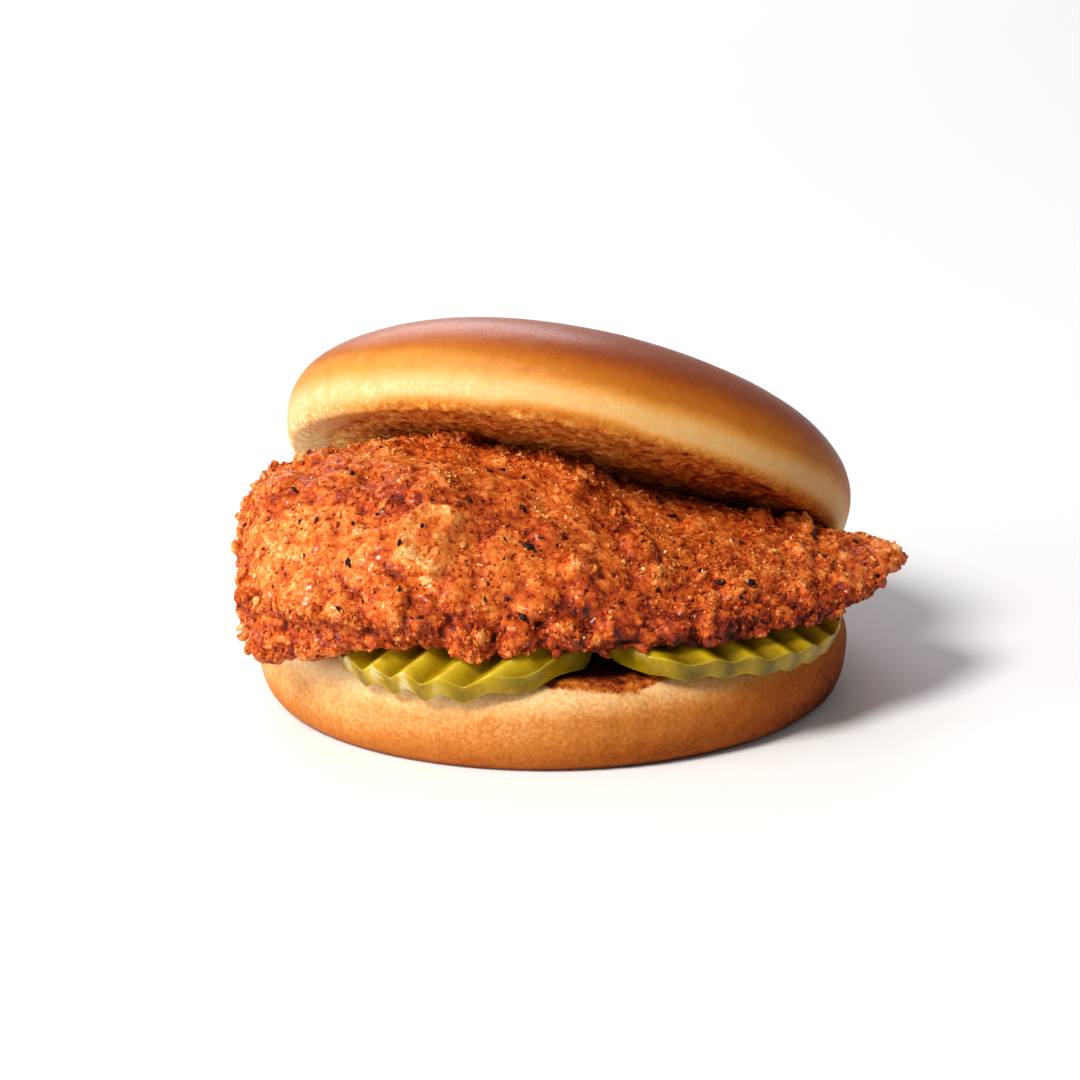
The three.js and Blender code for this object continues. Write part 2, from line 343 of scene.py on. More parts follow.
def pictured(points):
    # a point's pixel and its depth: its offset across and up, divided by its depth
    offset = points - view["target"]
    depth = view["distance"] - offset @ toCamera
    scale = view["picture"] * view["lens"] / view["sensor"] / depth
    half = view["picture"] / 2
    return half + scale * offset[..., 0], half - scale * (offset @ pictureUp), depth


def pinned(grid, normals, pixels):
    # for each pixel, the index of the point closest to the camera of those that are seen there
    across, down, depth = pictured(grid)
    seen = (normals @ toCamera > view["facing"]).ravel()
    found = []
    for x, y in pixels:
        apart = np.hypot(across - x, down - y).ravel()
        near = seen & (apart < view["reach"])
        if not near.any():
            near = seen & (apart < apart[seen].min() + 1)
        found.append(np.argmin(np.where(near, depth.ravel() + apart, np.inf)))
    return np.array(found)


# Bun

bun = {
    "radius": 54.0,
    "heelHeight": 16.0,
    "footInset": 4.5,
    "footHeight": 8.5,
    "edge": 6.5,
    "crownRadius": 53.6,
    "crownHeight": 28.2,
    "rimHeight": 7.0,
    "faceInset": 2.7,
    "domePower": 2.08,
    "wave": 0.02,
    "ovalShare": 0.009,
    "cornerShare": 0.006,
    "heelPhase": 0.6,
    "crownPhase": 2.2,
    "gap": 0.35,
    "sides": 400,
    "crownRings": (70, 20, 90),  # over the cut face, the rim and the dome
    "heelRings": (20, 26, 30, 80),  # over the base, the wall, the soft edge and the cut face
    "crownPlace": np.array([2.2, 22.0, 28.9]),
    "crownLean": math.radians(30),
    "crownRoll": math.radians(10.9),
}


def crownTurn():
    # the lean about X after the roll about Y, as one matrix
    across, up = math.sin(bun["crownLean"]), math.cos(bun["crownLean"])
    aboutX = np.array([[1, 0, 0], [0, up, across], [0, -across, up]])
    across, up = math.sin(bun["crownRoll"]), math.cos(bun["crownRoll"])
    aboutY = np.array([[up, 0, across], [0, 1, 0], [-across, 0, up]])
    return aboutX @ aboutY


crownAxes = crownTurn()
crownUp = crownAxes[:, 2]


def crownFaceHeight(x, y):
    # height of the plane of the crown's cut face above a place in plan
    place = bun["crownPlace"]
    return place[2] - ((x - place[0]) * crownUp[0] + (y - place[1]) * crownUp[1]) / crownUp[2]


def outOfRound(angle, phase):
    # the bun's radius at an angle, as a share of a true circle's: two low waves
    oval = bun["ovalShare"] * np.sin(2 * angle + phase)
    return 1 + oval + bun["cornerShare"] * np.sin(3 * angle + 2 * phase)


def quarter(start, end, startsAcross, count):
    # points of a quarter ellipse between two corners, the first one left level or upright
    angle = np.linspace(0, np.pi / 2, count + 1)
    slow, fast = 1 - np.cos(angle), np.sin(angle)
    first, second = (fast, slow) if startsAcross else (slow, fast)
    return np.stack([start[0] + (end[0] - start[0]) * first, start[1] + (end[1] - start[1]) * second], -1)


def turnedGrid(profile, phase):
    # a profile of radius and height carried round the Z axis, out of round by two low waves
    angle = 2 * np.pi * np.arange(bun["sides"]) / bun["sides"]
    radius = profile[:, :1] * outOfRound(angle, phase)
    return np.stack([radius * np.cos(angle), radius * np.sin(angle), profile[:, 1:] + 0 * radius], -1)


def crownGrid():
    # cut face, a quarter ellipse up to the rim, then a superellipse dome
    faceRings, rimRings, domeRings = bun["crownRings"]
    radius, rimHeight = bun["crownRadius"], bun["rimHeight"]
    face = radius - bun["faceInset"]
    flat = np.stack([np.linspace(0, face, faceRings), np.zeros(faceRings)], -1)
    rim = quarter((face, 0), (radius, rimHeight), True, rimRings)[1:]
    angle = np.linspace(0, np.pi / 2, domeRings)[1:]
    power = 2 / bun["domePower"]
    dome = np.stack([radius * np.cos(angle).clip(0) ** power,
                     rimHeight + (bun["crownHeight"] - rimHeight) * np.sin(angle) ** power], -1)
    dome[-1, 0] = 0
    profile = np.concatenate([flat, rim, dome])
    grid = turnedGrid(profile, bun["crownPhase"])
    around = np.arctan2(grid[..., 1], grid[..., 0])
    toRim = np.minimum(1, profile[:, :1] / radius)
    grid[..., 2] *= 1 + bun["wave"] * np.sin(2 * around + 1) * toRim
    return grid


def breadPores(grid, pores):
    # holes in the cut face: 0 at a width from the closest seat, and twice that width at the seat
    place = warped(grid, *pores["warp"])
    return np.maximum(0, pores["width"] - nearestSeat(place, pores["size"], pores["seed"])) * 2


# How the crown's surface is baked. Steps hold a start, an end and an amount, along the height, the
# distance in from the edge of the cut face, or the share of the radius towards the right. The steps
# towards the right paint shade, as does the char deep inside the cut face; the paler toast at the left
# end is partly less toasting and partly painted light
crownLook = {
    "leftSide": (0.5, 0.95),
    "leftInset": 7.0,
    "faceSlope": 0.4,
    "faceTop": 0.2,
    "faceEdge": (-1.8, 0.8),
    "faceWander": [(0.8, 8, 21), (0.9, 2.2, 23)],
    "pores": {"warp": (1.6, 0.6, 31), "size": 1.9, "seed": 35, "width": 0.62, "depth": 0.36, "char": 0.4},
    "crumb": [(0.16, 2.6, 41), (0.14, 1.2, 43)],
    "skin": [(0.30, 21, 51), (0.06, 6, 53), (0.03, 2.2, 55)],
    "bakeWander": [(1.1, 24, 61), (0.3, 7, 63)],
    "under": (2.5, 0.3),
    "glaze": (9, 17),
    "bake": 0.10,
    "bakeUp": [(3.8, 8.5, 0.25), (8.5, 15, 0.30)],
    "bakeUnder": (2.6, 0.2, 0.34),
    # painted shade: darker towards the right, the side away from the lamps, over the skin and a band of
    # heights
    "paintedShadeRight": (-0.5, 0.1, 0.07),
    "paintedShadeRightBand": (-0.5, 0.3, 0.14),
    "paintedShadeHeights": ((4, 10), (28, 14)),
    # painted shade in the toast: darker deep inside the cut face and towards its right, where the crown
    # shades it; paler at the left end, partly less toasting and partly painted light
    "charAndShadeIn": (2, 24, 0.10),
    "paleToastAndLightLeft": -0.40,
    "paintedShadeFaceRight": (0.1, 0.7, 0.34),
}


def makeCrown():
    # the turned profile with crumb on its cut face and a soft skin elsewhere, then leaned back
    s = crownLook
    grid = crownGrid()
    x, y, z = np.moveaxis(grid, -1, 0)
    toLeft = smoothstep(*s["leftSide"], -x / bun["crownRadius"])
    inside = bun["crownRadius"] - bun["faceInset"] - np.hypot(x, y) - s["faceSlope"] * z
    inside = inside - s["leftInset"] * toLeft
    onFace = smoothstep(*s["faceEdge"], inside + layered(grid, s["faceWander"]))
    onFace = onFace * (z / bun["crownHeight"] < s["faceTop"])
    pores = breadPores(grid, s["pores"])
    crumb = layered(grid, s["crumb"]) - s["pores"]["depth"] * pores
    relief = onFace * crumb + (1 - onFace) * layered(grid, s["skin"])
    grid = grid + gridNormals(grid) * relief[..., None]
    height = grid[..., 2]
    toRight = grid[..., 0] / bun["crownRadius"]
    z = height + layered(grid, s["bakeWander"])
    bake = s["bake"] + stepped(z, *s["bakeUp"])
    # the steps towards the right are painted shade, darker on the side away from the lamps
    bake = bake + stepped(z, s["bakeUnder"]) * (1 - toLeft) + stepped(toRight, s["paintedShadeRight"])
    bake = bake + stepped(toRight, s["paintedShadeRightBand"]) * between(*s["paintedShadeHeights"], z)
    # toasting with painted shade: darker in the pores, deep inside and towards the right; paler at the left
    # end, partly painted light
    char = s["pores"]["char"] * pores.clip(0, 1) + stepped(inside, s["charAndShadeIn"]) + s["paleToastAndLightLeft"] * toLeft
    char = char + stepped(toRight, s["paintedShadeFaceRight"])
    values = {
        "bake": bake,
        "toast": onFace,
        "char": char * onFace,
        "under": smoothstep(*s["under"], height),
        "glaze": smoothstep(*s["glaze"], height),
    }
    return closedSurface("crown_bun", grid @ crownAxes.T + bun["crownPlace"], values)


def pastFlat(x, y):
    # how far a place in plan lies past the flat part of the heel's top
    reach = np.hypot(x, y) / outOfRound(np.arctan2(y, x), bun["heelPhase"])
    return np.maximum(0, reach - (bun["radius"] - bun["edge"]))


def heelTop(x, y):
    # height of the heel's cut face and soft edge at a place in plan
    past = pastFlat(x, y) / bun["edge"]
    return bun["footHeight"] + (bun["heelHeight"] - bun["footHeight"]) * np.sqrt(np.maximum(0, 1 - past**2))


# How the heel's surface is baked, in the same kinds of steps; the steps across and towards the right paint
# shade, and the char near the cut face's edge is partly painted shade
heelLook = {
    "lowCut": (9.0, 10.0, 1.5),  # where the toast reaches over the front edge, how wide and how far
    "faceEdge": (-3.4, -0.8),
    "faceWander": [(1.0, 7, 71)],
    "wall": (0.2, 2.0),
    "pores": {"warp": (2.2, 0.7, 81), "size": 2.6, "seed": 85, "width": 0.6, "depth": 0.5, "char": 0.4},
    "crumb": [(0.25, 3.0, 91), (0.18, 1.4, 93)],
    "skin": [(0.30, 17, 101), (0.09, 5, 103), (0.03, 2, 105)],
    "creases": {"at": -0.42, "spread": 0.2, "count": 160, "wander": [(3, 9, 95)], "depth": 0.16},
    "folds": {"at": -1.25, "spread": 0.3, "count": 62, "wander": [(2, 14, 97)], "depth": 0.07},
    "bake": 0.46,
    "bakeUp": [(9.0, 0.6, 0.22), (1.4, 0.2, 0.25), (9, 14.5, -0.30)],
    # painted shade: darker towards the right, away from the lamps, and paler to the left
    "paintedShadeAcross": 0.17,
    "paintedShadeRight": (0.5, 1.0, 0.20),
    "bakeWander": [(0.05, 24, 111), (0.04, 7, 113)],
    "creaseBake": 0.05,
    # darker toast in a ring inside the cut face's edge and further in, where it shows under the pickles and
    # fillet: partly toasting, partly painted shade
    "ring": ((-1, 3), (20, 8)),
    "ringCharAndShade": 0.45,
    "charAndShadeIn": (-1, 3, 0.18),
}


def wallCreases(grid, crease):
    # upright creases where the wall was pressed: a sine round the wall, under a bell about one side
    around = np.arctan2(grid[..., 1], grid[..., 0])
    phase = around * crease["count"] + layered(grid, crease["wander"])
    return np.sin(phase) * bell(around, crease["at"], crease["spread"])


def makeHeel():
    # a flat foot, two quarter ellipses for the wall and the soft edge, and the cut face
    s = heelLook
    baseRings, wallRings, edgeRings, topRings = bun["heelRings"]
    foot, flat = bun["radius"] - bun["footInset"], bun["radius"] - bun["edge"]
    base = np.stack([np.linspace(0, foot, baseRings), np.zeros(baseRings)], -1)
    wall = quarter((foot, 0), (bun["radius"], bun["footHeight"]), True, wallRings)[1:]
    edge = quarter((bun["radius"], bun["footHeight"]), (flat, bun["heelHeight"]), False, edgeRings)[1:]
    top = np.stack([np.linspace(flat, 0, topRings), np.full(topRings, bun["heelHeight"])], -1)[1:]
    grid = turnedGrid(np.concatenate([base, wall, edge, top]), bun["heelPhase"])
    x, y, z = np.moveaxis(grid, -1, 0)
    cutX, cutWidth, cutReach = s["lowCut"]
    inside = flat - np.hypot(x, y) + cutReach * bell(x, cutX, cutWidth) * (y < 0)
    onFace = smoothstep(*s["faceEdge"], inside + layered(grid, s["faceWander"])) * (z > bun["footHeight"])
    onWall = smoothstep(*s["wall"], z) * (1 - onFace)
    pores = breadPores(grid, s["pores"])
    crumb = layered(grid, s["crumb"]) - s["pores"]["depth"] * pores
    creases = wallCreases(grid, s["creases"])
    skin = layered(grid, s["skin"]) + s["creases"]["depth"] * creases
    skin = skin + s["folds"]["depth"] * wallCreases(grid, s["folds"])
    grid = grid + gridNormals(grid) * (onFace * crumb + onWall * skin)[..., None]
    grid[..., 2] = np.clip(grid[..., 2], 0, crownFaceHeight(grid[..., 0], grid[..., 1]) - bun["gap"])
    toRight = grid[..., 0] / bun["radius"]
    # the steps across and towards the right are painted shade
    bake = s["bake"] + stepped(grid[..., 2], *s["bakeUp"]) + s["paintedShadeAcross"] * toRight
    bake = bake + stepped(toRight, s["paintedShadeRight"]) + layered(grid, s["bakeWander"])
    bake = bake + s["creaseBake"] * creases
    # toasting with painted shade: darker in the pores and in a ring inside the edge
    char = s["pores"]["char"] * pores.clip(0, 1) + stepped(inside, s["charAndShadeIn"])
    char = (char + s["ringCharAndShade"] * between(*s["ring"], inside)) * onFace
    values = {"bake": bake, "toast": onFace, "char": char, "under": onFace, "glaze": 0 * bake}
    return closedSurface("heel_bun", grid, values)


crownTones = [
    (0.00, shade(238, 214, 166)),
    (0.12, shade(208, 166, 106)),
    (0.30, shade(203, 138, 62)),
    (0.50, shade(173, 99, 25)),
    (0.70, shade(156, 75, 11)),
    (0.86, shade(134, 57, 8)),
    (1.00, shade(94, 35, 6)),
]
heelTones = [
    (0.00, shade(236, 206, 156)),
    (0.25, shade(212, 158, 98)),
    (0.45, shade(188, 114, 46)),
    (0.65, shade(164, 84, 16)),
    (0.85, shade(128, 54, 6)),
    (1.00, shade(82, 28, 4)),
]
toastTones = [
    (0.00, shade(238, 190, 112)),
    (0.26, shade(214, 138, 52)),
    (0.52, shade(182, 94, 24)),
    (0.78, shade(130, 45, 7)),
    (1.00, shade(64, 15, 3)),
]


def crustMaterial(name, tones, faceTone, grain, matte, gloss):
    g = Graph(name)
    mottle = g.noise(3.2, 3.0, 0.6)
    fine = g.noise(0.75, 3.0, 0.65)
    under = g.attribute("under")
    speck = g.noise(1.1, 3.0, 0.75)
    bake = g.attribute("bake") + (mottle - 0.5) * 0.14 + (fine - 0.5) * grain + under * (speck - 0.5) * 0.9
    skin = g.ramp(g.clamp(bake), tones)
    freckles = g.step(g.noise(0.6, 1.0, 0.5), 0.62, 0.78) * g.step(bake, 0.35, 0.75)
    skin = g.mix(freckles * 0.3, skin, shade(96, 34, 8))
    blotch = g.noise(6.0, 3.0, 0.6)
    # the char attribute holds toasting and painted shade
    toasted = faceTone + (blotch - 0.5) * 0.7 + (speck - 0.5) * 1.4 + g.attribute("char")
    face = g.ramp(g.clamp(toasted), toastTones)
    toast = g.step(g.attribute("toast") + (speck - 0.5) * 0.8, 0.24, 0.76)
    pinholes = g.step(g.noise(0.5, 2.0, 0.6), 0.52, 0.62)
    rough = matte + under * (0.9 - matte) + (mottle - 0.5) * 0.15
    height = g.noise(1.0, 3.0, 0.6) * 0.5 + fine * 0.5 + toast * (speck - 0.5) * 3.0
    return g.finish({
        "Base Color": g.mix(toast, skin, face),
        "Roughness": rough,
        "Specular IOR Level": 0.13,
        "Subsurface Weight": 0.1,
        "Subsurface Radius": (1.0, 0.5, 0.25),
        "Subsurface Scale": 0.003,
        "Coat Weight": gloss * g.attribute("glaze") * (1 - pinholes * 0.75),
        "Coat Roughness": 0.3,
        "Normal": g.bump(height, 0.24, 0.7),
    })


crown = makeCrown()
crown.data.materials.append(crustMaterial("crown_crust", crownTones, 0.30, 0.16, 0.5, 0.5))
heel = makeHeel()
heel.data.materials.append(crustMaterial("heel_crust", heelTones, 0.52, 0.5, 0.8, 0.0))
print("bun halves made")

# Pickle slices

pickleShape = {
    "thickness": 4.0,
    "ridgePitch": 6.0,
    "ridgeDepth": 2.0,
    "ridgeSharpness": 0.95,  # 1 is a zigzag
    "ridgeWander": [(0.35, 11, 119)],
    "faceWander": [(0.14, 4, 121), (0.10, 1.7, 123)],
    "tissue": [(0.7, 2.2, 125), (0.3, 0.9, 127)],
    "lobes": [(0.012, 5, 1), (0.008, 9, 2)],  # waves of the outline: share, count and phase
    "bulge": (3.54, 0.45),  # its direction and width
    "bendRadius": 7.0,
    "bend": math.radians(26),
    "sag": 0.03,
    "margin": 3.0,
    "edge": 0.7,  # how far the rim is rounded over
    "rimPowers": (0.55, 0.6),  # how square its rounding is, upwards and inwards
    "ringPower": 0.8,  # below 1 brings the rings closer together towards the rim
    "sideLevels": (0.99, 0.96),
    "membraneTissue": (0.2, 0.9),
    "noiseApart": (40, 3),  # between the slices, and from a slice's middle to its faces
    "sides": 480,
    "rings": 60,
    "rimRings": 24,
}
# a slice's tint paints it paler above 0 and darker below 0: painted light and shade, the right slice darker
pickleSlices = {
    "pickle_left": {
        "place": (-15.2, -34.0), "radii": (22.8, 19.8), "ovalTurn": -20, "ridgeTurn": 42, "seed": 1,
        "ridgeShare": 1.0, "bulge": 0.0, "tint": 0.03, "membrane": (-16.0, -26.0),
    },
    "pickle_right": {
        "place": (29.3, -25.7), "radii": (24.4, 16.8), "ovalTurn": 40, "ridgeTurn": -31, "seed": 2,
        "ridgeShare": 0.52, "bulge": 0.10, "tint": -0.14, "membrane": (46.0, 56.0),
    },
}
pickleStack = pickleShape["thickness"] + pickleShape["ridgeDepth"] + bun["gap"]


def drape(x, y, rise):
    # a flat slice bent down over the heel's soft edge: an arc of the bend's radius, then straight
    past = pastFlat(x, y)
    radius = pickleShape["bendRadius"]
    bend = np.minimum(past / radius, pickleShape["bend"])
    straight = past - radius * bend
    outward = (radius + rise) * np.sin(bend) + straight * np.cos(bend)
    down = radius * (1 - np.cos(bend)) + straight * np.sin(bend)
    reach = np.hypot(x, y)
    share = (reach - past + outward) / np.maximum(reach, 1)
    return np.stack([x * share, y * share, bun["heelHeight"] - down + rise * np.cos(bend)], -1)


def makePickle(name, cut):
    # for each direction, a path from the under face's middle round the rim to the upper face's
    shape = pickleShape
    around = 2 * np.pi * np.arange(shape["sides"]) / shape["sides"]
    flat = np.linspace(0, 1, shape["rings"]) ** shape["ringPower"]
    turn = np.linspace(-np.pi / 2, np.pi / 2, shape["rimRings"])[1:-1]
    upwards, inwards = shape["rimPowers"]
    share = np.concatenate([flat, 0 * turn + 1, flat[::-1]])[:, None]
    level = np.concatenate([0 * flat - 1, signedPower(np.sin(turn), upwards), 0 * flat + 1])[:, None]
    inset = shape["edge"] * np.concatenate([flat, 1 - np.cos(turn) ** inwards, flat[::-1]])[:, None]
    lobes = 1 + cut["bulge"] * bell(around, *shape["bulge"])
    for wave, count, phase in shape["lobes"]:
        lobes = lobes + wave * np.sin(count * around + phase * cut["seed"])
    u = (cut["radii"][0] * share - inset) * np.cos(around) * lobes
    v = (cut["radii"][1] * share - inset) * np.sin(around) * lobes
    oval = math.radians(cut["ovalTurn"])
    x = u * math.cos(oval) - v * math.sin(oval)
    y = u * math.sin(oval) + v * math.cos(oval)
    # the ridges: a zigzag with rounded tips across the slice, a little uneven
    ridges = math.radians(cut["ridgeTurn"] - 90)
    perSlice, toFace = shape["noiseApart"]
    place = np.stack([x, y, 0 * x + cut["seed"] * perSlice + toFace * level], -1)
    across = x * math.cos(ridges) + y * math.sin(ridges)
    across = across + layered(place, shape["ridgeWander"])
    sharp = shape["ridgeSharpness"]
    crest = np.arcsin(sharp * np.cos(2 * np.pi * across / shape["ridgePitch"])) / math.asin(sharp)
    rough = layered(place, shape["faceWander"])
    z = shape["ridgeDepth"] / 2 * cut["ridgeShare"] * crest + level * (shape["thickness"] / 2 + rough)
    rise = z + (shape["thickness"] + shape["ridgeDepth"]) / 2 + bun["gap"]
    grid = drape(x + cut["place"][0], y + cut["place"][1], rise)
    side = smoothstep(*shape["sideLevels"], np.abs(level)) + 0 * x
    tissue = smoothstep(*shape["membraneTissue"], crest + layered(place, shape["tissue"]))
    membrane = smoothstep(*cut["membrane"], grid[..., 0]) * tissue * side
    values = {"crest": 0.5 + 0.5 * crest, "side": side, "level": level + 0 * x, "membrane": membrane}
    return closedSurface(name + "_slice", grid, values)


def pickleMaterial(name, tint):
    g = Graph(name)
    # the tint is painted light and shade: above 0 paler, below 0 darker
    streak = g.noise(2.6, 3.0, 0.6)
    fine = g.noise(0.7, 2.0, 0.6)
    crest = g.attribute("crest")
    level = g.attribute("level")
    # darker down in the valleys between the ridges, painted shade, in the flesh here and the skin below
    flesh = g.ramp(g.clamp(crest * 0.55 + streak * 0.5 + tint), [
        (0.00, shade(96, 72, 2)),
        (0.35, shade(140, 110, 4)),
        (0.65, shade(178, 148, 16)),
        (1.00, shade(206, 182, 60)),
    ])
    skin = g.ramp(g.clamp(streak * 0.8 + fine * 0.2 + crest * 0.4 - 0.25 + tint), [
        (0.00, shade(88, 70, 1)),
        (0.50, shade(156, 126, 2)),
        (1.00, shade(204, 174, 16)),
    ])
    # a bright lime line along the under rim, the skin's colour and painted light shining through the thin
    # edge; a pale line along the upper rim, a painted highlight
    lowRim = g.step(level, -0.82, -0.94)
    topRim = g.step(level, 0.88, 0.97)
    skin = g.mix(lowRim * 0.7, skin, shade(204, 196, 48))
    skin = g.mix(topRim * 0.35, skin, shade(214, 198, 90))
    skin = g.mix(g.attribute("membrane") * (0.35 + fine * 0.6), skin, shade(196, 188, 140))
    return g.finish({
        "Base Color": g.mix(g.attribute("side"), flesh, skin),
        "Roughness": 0.26 + fine * 0.16,
        "Specular IOR Level": 0.12,
        "Subsurface Weight": 0.35,
        "Subsurface Radius": (1.0, 0.75, 0.08),
        "Subsurface Scale": 0.004,
        "Coat Weight": 0.2,
        "Coat Roughness": 0.11,
        "Normal": g.bump(streak * 0.6 + fine * 0.4, 0.3, 0.5),
    })


picklePieces = {}
for name, cut in pickleSlices.items():
    picklePieces[name] = makePickle(name, cut)
    picklePieces[name].data.materials.append(pickleMaterial(name + "_flesh", cut["tint"]))
print("pickle slices made")

# Chicken fillet

filletShape = {
    "middleX": -10.0,
    "left": 46.0,
    "right": 74.0,
    "middleY": -12.0,
    "tailShift": 5.0,
    "tail": (20.0, 64.0),
    "blunt": (-58.0, -41.0),
    "bluntDrop": 9.0,
    "front": 39.0,
    "back": 28.0,
    "bluntPower": 2.8,
    "tailPower": 1.9,
    "bluntDepthPower": 3.0,
    "tailDepthPower": 2.1,
    "waist": 0.36,
    "topPower": 2.1,
    "underPower": 3.2,
    "frontSlope": 3.2,
    "profileStart": -58.0,
    "profileStep": 12.0,
    "crestHeights": [50, 46.4, 47, 47.5, 45.5, 43.7, 38.7, 35.7, 34.7, 33, 32.5],
    "frontEdgeHeights": [8, 10.2, 16.5, 19.1, 16.3, 16.6, 19, 19, 16.9, 18.5, 22.1],
    "swell": (19.0, 1.5, 3),
    "lump": (7.5, 1.5, 11),
    "reliefCentre": np.array([-10.0, -12.0, 33.4]),
    "reliefReach": np.array([74.0, 39.0, 11.5]),
    "sectionStart": 50,  # degrees up from the back, where the points of a section begin
    "outlineSteps": 4000,  # for measuring the way along the outline, which spaces the rows
    "rows": 300,
    "upperSides": 205,  # from the back of the top round to the front's lower edge
    "lowerSides": 105,
}


def heightAlong(heights, x):
    # a cubic through evenly spaced heights along X, with each slope from the two neighbours
    heights = np.array(heights, float)
    padded = np.concatenate([[2 * heights[0] - heights[1]], heights, [2 * heights[-1] - heights[-2]]])
    place = (x - filletShape["profileStart"]) / filletShape["profileStep"]
    place = np.clip(place, 0, len(heights) - 1 - 1e-6)
    n = np.floor(place).astype(int)
    t = place - n
    before, start, end, after = (padded[n + m] for m in range(4))
    bend = 2 * before - 5 * start + 4 * end - after + t * (3 * (start - end) + after - before)
    return start + 0.5 * t * (end - before + t * bend)


def fullness(along, power):
    # half width of a superellipse of unit size at a distance along it
    return np.maximum(0, 1 - np.abs(along) ** power) ** (1 / power)


def halfSize(along, bluntPower, tailPower):
    # a section's half width or depth, as a share: one superellipse to the blunt end, one to the tail
    return np.where(along < 0, fullness(along, bluntPower), fullness(along, tailPower))


def filletSmooth():
    # sections across X: superellipses between an under side and a crest that follow their curves
    s = filletShape
    fine = -np.cos(np.linspace(0, np.pi, s["outlineSteps"] + 1))
    reach = fine * np.where(fine < 0, s["left"], s["right"])
    outline = np.stack([reach, s["front"] * halfSize(fine, s["bluntPower"], s["tailPower"])], -1)
    length = np.concatenate([[0], np.cumsum(np.linalg.norm(np.diff(outline, axis=0), axis=1))])
    along = np.interp(np.linspace(0, length[-1], s["rows"]), length, fine)[:, None]
    start = s["sectionStart"]
    upper = np.radians(np.linspace(start, start + 180, s["upperSides"], endpoint=False))
    lower = np.radians(np.linspace(start + 180, start + 360, s["lowerSides"], endpoint=False))
    turn = np.concatenate([upper, lower])[None]
    x = s["middleX"] + along * np.where(along < 0, s["left"], s["right"]) + 0 * turn
    width = halfSize(along, s["bluntPower"], s["tailPower"])
    depth = halfSize(along, s["bluntDepthPower"], s["tailDepthPower"])
    toTail = smoothstep(*s["tail"], x)
    toBlunt = 1 - smoothstep(*s["blunt"], x)
    side = signedPower(np.cos(turn), 2 / s["topPower"])
    y = s["middleY"] + s["tailShift"] * toTail + width * side * np.where(side < 0, s["front"], s["back"])
    toFront = np.maximum(0, -side) ** 2
    back = bun["heelHeight"] + pickleStack + bun["gap"] - s["bluntDrop"] * toBlunt
    under = back + (heightAlong(s["frontEdgeHeights"], x) - back) * toFront
    crest = heightAlong(s["crestHeights"], x) - s["frontSlope"] * (1 - toTail) * toFront
    waist = under + s["waist"] * (crest - under)
    sine = np.sin(turn)
    lift = np.where(sine < 0, signedPower(sine, 2 / s["underPower"]), signedPower(sine, 2 / s["topPower"]))
    z = waist + depth * lift * np.where(lift < 0, waist - under, crest - waist)
    return np.stack([x, y, z], -1), (z - under) / (crest - under)


def supportHeight(x, y):
    # height of whatever lies under the fillet: the heel, or a slice on it
    over = np.zeros(x.shape, bool)
    for cut in pickleSlices.values():
        oval = math.radians(cut["ovalTurn"])
        dx, dy = x - cut["place"][0], y - cut["place"][1]
        u = (dx * math.cos(oval) + dy * math.sin(oval)) / (cut["radii"][0] + pickleShape["margin"])
        v = (dy * math.cos(oval) - dx * math.sin(oval)) / (cut["radii"][1] + pickleShape["margin"])
        over |= np.hypot(u, v) < 1
    stacked = bun["heelHeight"] + pickleStack - pickleShape["sag"] * pastFlat(x, y) ** 2
    return np.where(over, stacked, heelTop(x, y))


# Crags pinned to the photograph: pixel, radius and height in millimetres, and how brown
crags = [
    (274, 490, 5.5, 1.6, 0.1), (332, 485, 4.0, 1.1, 0.0), (427, 482, 6.0, 1.5, -0.1),
    (395, 486, 4.0, 1.0, 0.0), (570, 480, 4.5, 1.4, 0.0), (577, 564, 3.8, 2.0, 0.1),
    (545, 528, 4.2, 1.0, 0.35), (470, 640, 5.0, 2.0, 0.2), (517, 637, 4.4, 2.2, 0.15),
    (565, 637, 4.0, 1.8, 0.2), (602, 638, 3.6, 1.2, 0.1), (382, 597, 5.0, 1.6, 0.0),
    (265, 637, 6.0, 1.8, 0.3), (252, 608, 3.4, 1.2, 0.3), (300, 602, 6.0, 1.5, 0.0),
    (345, 612, 4.0, 1.3, 0.1), (637, 550, 3.6, 1.6, 0.2), (740, 592, 3.2, 1.5, 0.1),
    (717, 627, 4.4, 2.2, 0.15), (678, 624, 3.6, 1.6, 0.2), (797, 550, 3.2, 1.3, 0.0),
    (794, 524, 4.0, 1.8, 0.0), (762, 514, 3.4, 1.5, 0.0), (895, 552, 3.0, 0.9, 0.1),
    (626, 480, 3.2, 1.6, 0.1), (806, 596, 3.6, 1.4, 0.1), (622, 622, 3.6, 1.0, 0.1),
    (455, 440, 4.0, 2.2, 0.0), (310, 456, 4.5, 0.9, 0.2), (400, 620, 4.4, 1.4, 0.2),
    (430, 628, 3.6, 1.5, 0.2), (540, 605, 4.0, 1.2, 0.2), (655, 575, 3.6, 1.2, 0.1),
    (590, 597, 3.4, 1.1, 0.2), (700, 520, 3.4, 1.2, 0.0), (850, 585, 3.6, 1.1, 0.1),
]
# Smooth golden places, and at the upper middle and right paler places painted as light where the crown's
# shadow falls: pixel, radius in millimetres and how pale
goldPatches = [
    (292, 545, 11.0, 0.16), (340, 560, 9.0, 0.14), (425, 545, 7.0, 0.18), (400, 452, 9.0, 0.16),
    (480, 460, 7.0, 0.10), (515, 570, 7.0, 0.10), (628, 492, 9.0, 0.15), (692, 526, 9.0, 0.13),
    (265, 575, 6.0, 0.12), (540, 490, 9.0, 0.11),
]
